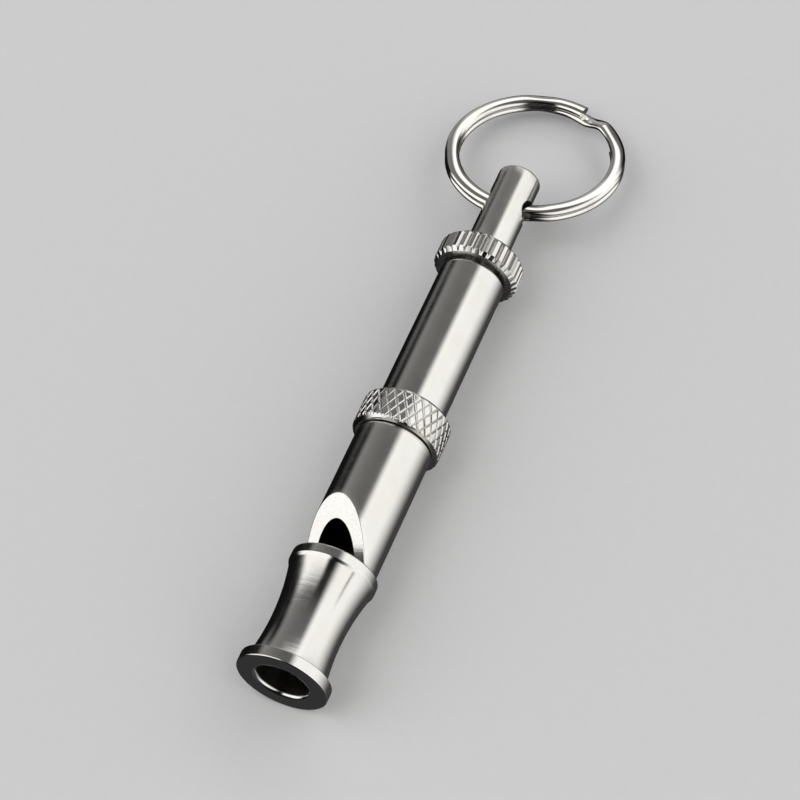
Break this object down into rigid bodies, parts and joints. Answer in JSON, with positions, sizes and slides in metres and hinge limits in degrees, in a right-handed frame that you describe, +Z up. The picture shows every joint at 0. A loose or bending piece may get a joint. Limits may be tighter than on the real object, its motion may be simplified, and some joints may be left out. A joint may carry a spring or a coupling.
{
  "type": "training whistle",
  "caption": "Adjustable metal dog training whistle with a waisted mouthpiece, slanted air window, screw-tuned piston, lock nut and split key ring.",
  "frame": {"origin": "on the surface that the whistle lies on, under the middle of its overall length with the ring laid back", "axes": "+X along the whistle's axis, from the mouth to the key ring; +Z up; the air window faces up and 33 degrees towards +Y"},
  "size_m": [0.0806, 0.02, 0.0096],
  "materials": {
    "mouthpiece": "bright nickel plate on turned brass, fine turning marks",
    "windway_plug": "plain turned brass",
    "front_barrel": "bright nickel plate on turned brass, fine turning marks",
    "rear_barrel": "bright nickel plate on turned brass, diamond knurl on the collar",
    "piston": "plain turned brass",
    "piston_seal": "black rubber",
    "tuning_rod": "bright nickel plate on turned brass",
    "lock_nut": "bright nickel plate on turned brass, straight knurl",
    "split_ring": "polished nickel-plated spring steel"
  },
  "bodies": {
    "whistle_body": {"mouthpiece": "mouthpiece", "windway_plug": "windway_plug", "front_barrel": "front_barrel", "rear_barrel": "rear_barrel"},
    "piston": {"piston": "piston", "piston_seal": "piston_seal"},
    "tuning_rod": {"tuning_rod": "tuning_rod"},
    "lock_nut": {"lock_nut": "lock_nut"},
    "split_ring": {"split_ring": "split_ring"}
  },
  "joints": [
    {"name": "tuning_travel", "type": "slide", "parent": "whistle_body", "child": "piston", "axis": [1, 0, 0], "range_m": [0, 0.0088]},
    {"name": "tuning_turn", "type": "hinge", "parent": "piston", "child": "tuning_rod", "pos_m": [0.00974, 0, 0.0048], "axis": [1, 0, 0], "range_deg": [0, 3960]},
    {"name": "lock_nut_turn", "type": "hinge", "parent": "whistle_body", "child": "lock_nut", "pos_m": [0.01294, 0, 0.0048], "axis": [1, 0, 0], "range_deg": [-157, 0]},
    {"name": "ring_swing", "type": "hinge", "parent": "tuning_rod", "child": "split_ring", "pos_m": [0.02144, 0, 0.0048], "axis": [0, 1, 0], "range_deg": [-164, 145]}
  ],
  "couplings": [
    {"joint": "tuning_travel", "follows": "tuning_turn", "m_per_rad": 0.00012732}
  ]
}
